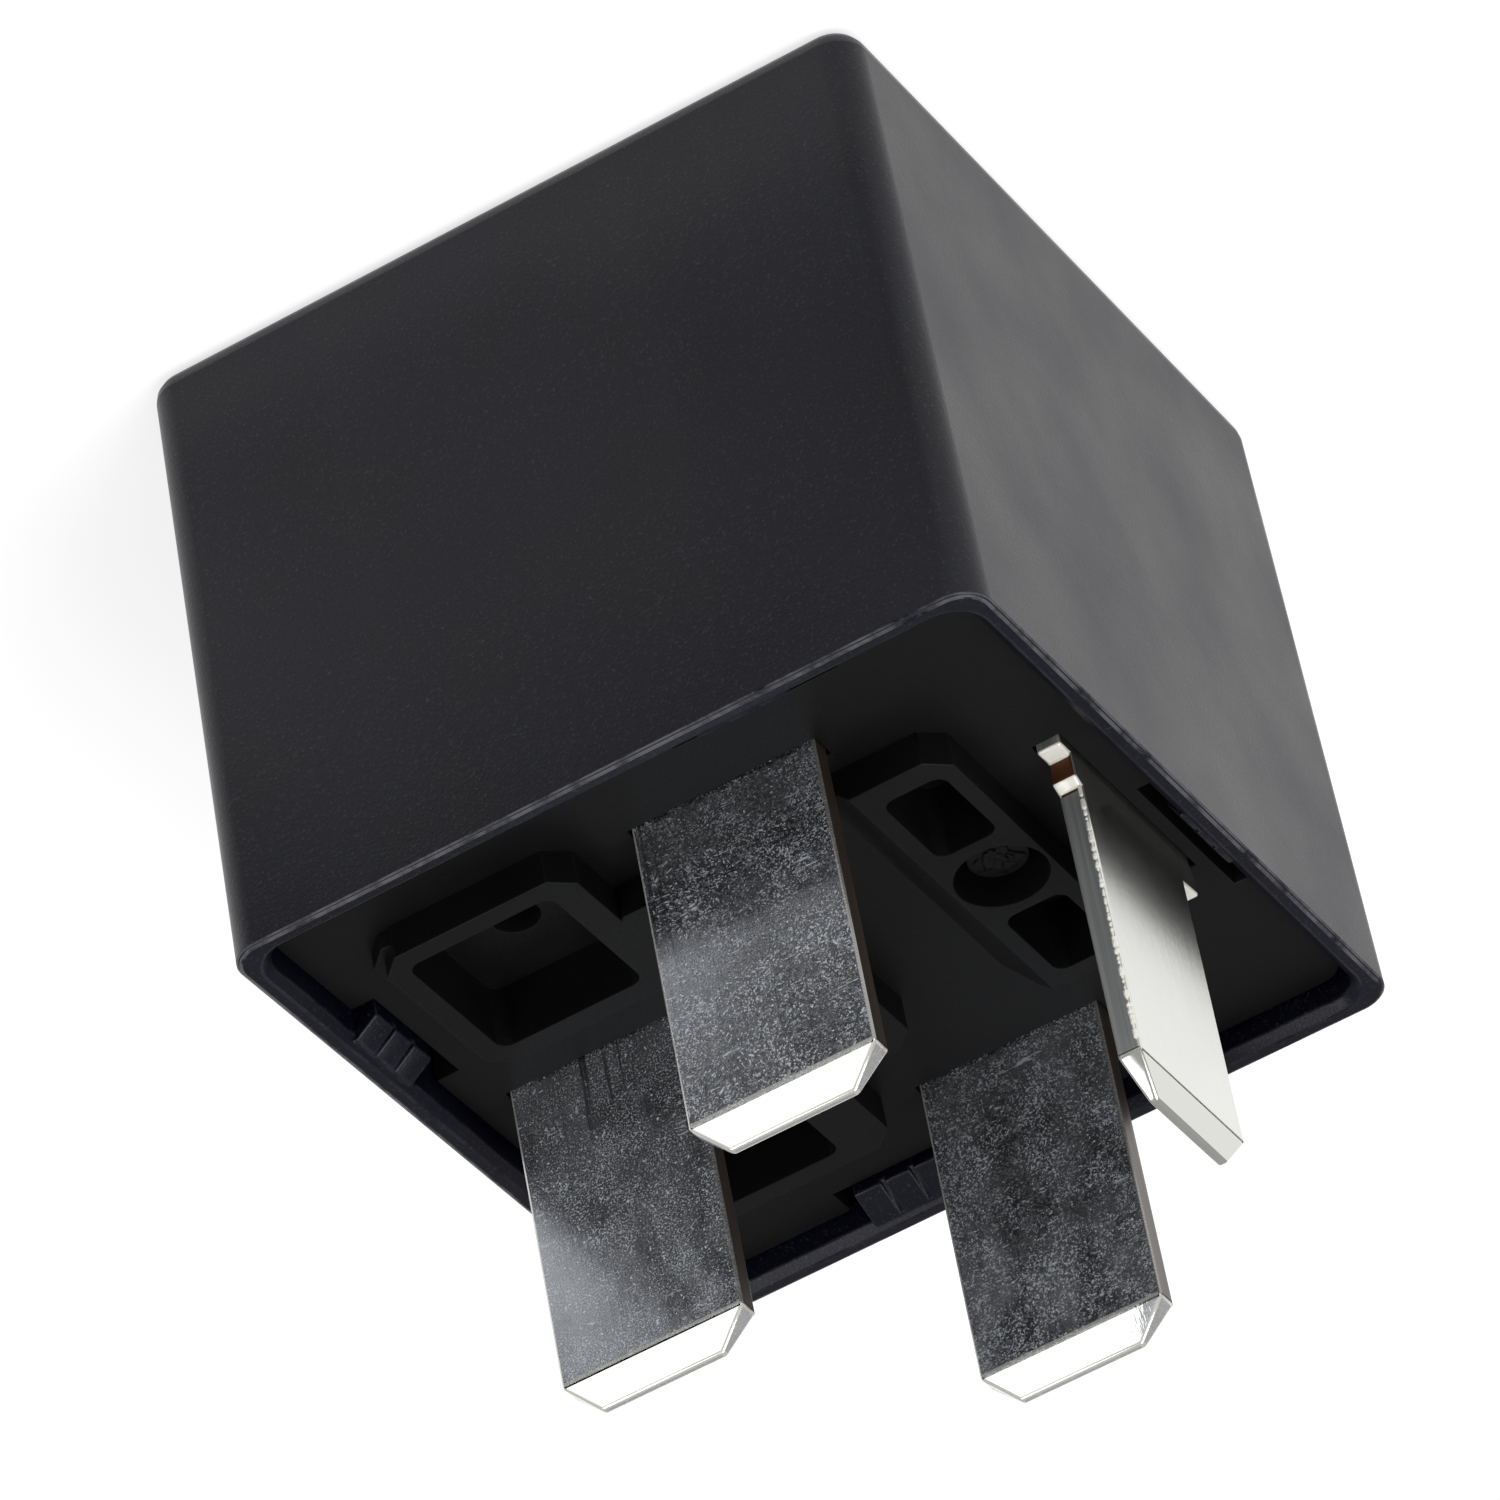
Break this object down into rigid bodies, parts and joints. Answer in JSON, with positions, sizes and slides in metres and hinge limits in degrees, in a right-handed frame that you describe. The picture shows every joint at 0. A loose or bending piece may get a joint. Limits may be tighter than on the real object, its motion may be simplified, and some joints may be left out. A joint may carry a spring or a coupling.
{
  "type": "automotive relay",
  "caption": "Black cube-shaped plug-in automotive relay with flat blade terminals, moulded base, coil, hinged armature and contact spring inside.",
  "frame": {"origin": "centre of the cover's flat closed end, on the surface it stands on", "axes": "+Z from the closed end towards the blade tips; +X from the common terminal towards the load terminal; +Y along the line between the two coil blades"},
  "size_m": [0.0258, 0.0262, 0.0336],
  "materials": {
    "cover_plastic": "fine spark-eroded black plastic, faintly blue",
    "base_plastic": "fine matte black plastic",
    "tinned_sheet": "bright tin plate over brass, bare brass on cut edges",
    "plated_iron": "nickel-plated soft iron",
    "bobbin_plastic": "natural glass-filled plastic",
    "enamelled_copper": "enamelled copper wire",
    "coil_tape": "thin amber insulating tape",
    "rivet_steel": "plated steel",
    "spring_bronze": "copper alloy spring strip",
    "contact_silver": "silver alloy",
    "resistor_coat": "blue lacquer",
    "tinned_wire": "tinned copper wire"
  },
  "bodies": {
    "housing": {"cover": "cover_plastic", "base": "base_plastic", "coil_terminal_a": "tinned_sheet", "coil_terminal_b": "tinned_sheet", "common_terminal": "tinned_sheet", "load_terminal": "tinned_sheet", "yoke": "plated_iron", "core": "plated_iron", "bobbin": "bobbin_plastic", "coil_winding": "enamelled_copper", "coil_tape": "coil_tape", "coil_lead_start": "enamelled_copper", "coil_lead_finish": "enamelled_copper", "fixed_contact": "contact_silver", "yoke_rivets": "rivet_steel", "armature_stop": "plated_iron", "resistor_body": "resistor_coat", "resistor_lead_a": "tinned_wire", "resistor_lead_b": "tinned_wire"},
    "armature": {"armature": "plated_iron", "armature_rivets": "rivet_steel", "contact_spring": "spring_bronze", "moving_contact": "contact_silver"}
  },
  "joints": [
    {"name": "armature_pull", "type": "hinge", "parent": "housing", "child": "armature", "pos_m": [-0.00972, 0, 0.0052], "axis": [0, -1, 0], "range_deg": [0, 3.2], "stiffness_Nm_per_rad": 0.02, "springref_deg": -5.73, "deforming": ["contact_spring"]}
  ]
}
